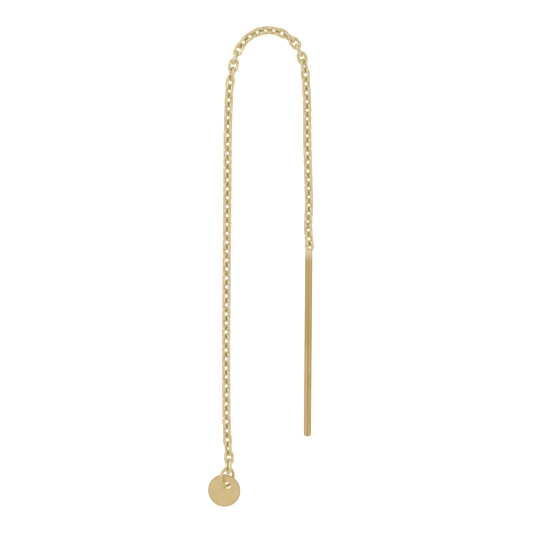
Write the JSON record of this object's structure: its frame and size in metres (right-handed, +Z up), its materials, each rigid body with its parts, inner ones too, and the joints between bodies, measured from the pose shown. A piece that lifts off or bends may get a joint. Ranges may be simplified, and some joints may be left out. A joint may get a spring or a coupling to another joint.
{
  "type": "threader earring",
  "caption": "Threader earring lying flat: a small round disc on a jump ring, a long fine cable chain laid in an arch, and a straight round post",
  "frame": {"origin": "middle of the earring's outline on the flat surface that it lies on", "axes": "+Z up from the surface, +Y along the two strands towards the arch, the post on the +X side"},
  "size_m": [0.0132, 0.0601, 0.002],
  "materials": {
    "disc_gold": "polished pale yellow gold with fine handling marks",
    "ring_gold": "bright drawn wire in pale yellow gold",
    "chain_gold": "bright pale yellow gold wire links",
    "bar_gold": "polished pale yellow gold, faintly drawn along its length"
  },
  "bodies": {
    "root": {"disc": "disc_gold", "jump_ring": "ring_gold", "chain": "chain_gold", "threader_bar": "bar_gold"}
  },
  "joints": []
}
